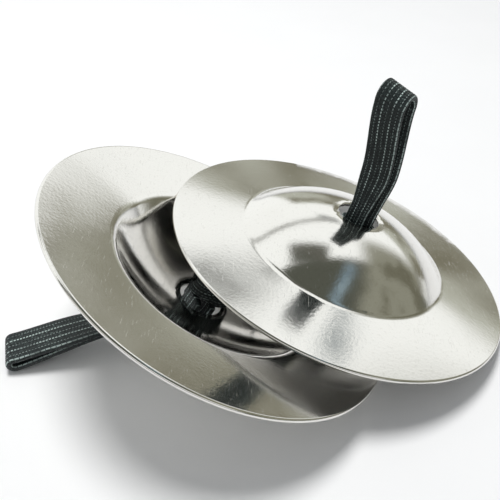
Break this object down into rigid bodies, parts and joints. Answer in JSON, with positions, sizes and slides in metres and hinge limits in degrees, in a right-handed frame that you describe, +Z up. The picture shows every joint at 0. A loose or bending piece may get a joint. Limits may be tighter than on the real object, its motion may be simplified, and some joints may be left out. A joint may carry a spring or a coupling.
{
  "type": "finger cymbals",
  "caption": "Pair of domed metal finger cymbals resting one on the other, each with a knotted elastic finger loop through its centre hole.",
  "frame": {"origin": "middle of the pair's footprint, on the surface that they rest on", "axes": "+Z up from the table, +X along the longest extent, from the lying loop to the front cymbal"},
  "size_m": [0.0904, 0.076, 0.043],
  "materials": {
    "disc_metal": "polished, lightly scratched",
    "elastic": "braided, ribbed, with pale threads"
  },
  "bodies": {
    "rear_cymbal": {"rear_disc": "disc_metal"},
    "rear_tie": {"rear_neck": "elastic", "rear_knot": "elastic", "rear_long_tail": "elastic", "rear_short_tail": "elastic"},
    "rear_loop": {"rear_finger_loop": "elastic"},
    "front_cymbal": {"front_disc": "disc_metal"},
    "front_tie": {"front_neck": "elastic", "front_knot": "elastic", "front_long_tail": "elastic", "front_short_tail": "elastic"},
    "front_loop": {"front_finger_loop": "elastic"}
  },
  "joints": [
    {"name": "front_lift", "type": "slide", "parent": "rear_cymbal", "child": "front_cymbal", "axis": [0, 0, 1], "range_m": [0, 0.06]},
    {"name": "rear_swivel", "type": "hinge", "parent": "rear_cymbal", "child": "rear_tie", "pos_m": [-0.01176, -0.00613, 0.0073], "axis": [-0.4496, -0.0608, -0.8912], "continuous": true},
    {"name": "rear_loop_bend", "type": "hinge", "parent": "rear_tie", "child": "rear_loop", "pos_m": [-0.01416, -0.00668, 0.00547], "axis": [0.2658, -0.964, 0], "range_deg": [-20, 95], "stiffness_Nm_per_rad": 0.0005},
    {"name": "front_swivel", "type": "hinge", "parent": "front_cymbal", "child": "front_tie", "pos_m": [0.0164, 0.00608, 0.01776], "axis": [0.2784, 0.0561, 0.9588], "continuous": true},
    {"name": "front_loop_bend", "type": "hinge", "parent": "front_tie", "child": "front_loop", "pos_m": [0.01724, 0.00625, 0.02064], "axis": [0.8023, -0.5914, -0.0803], "range_deg": [-75, 75], "stiffness_Nm_per_rad": 0.002}
  ]
}
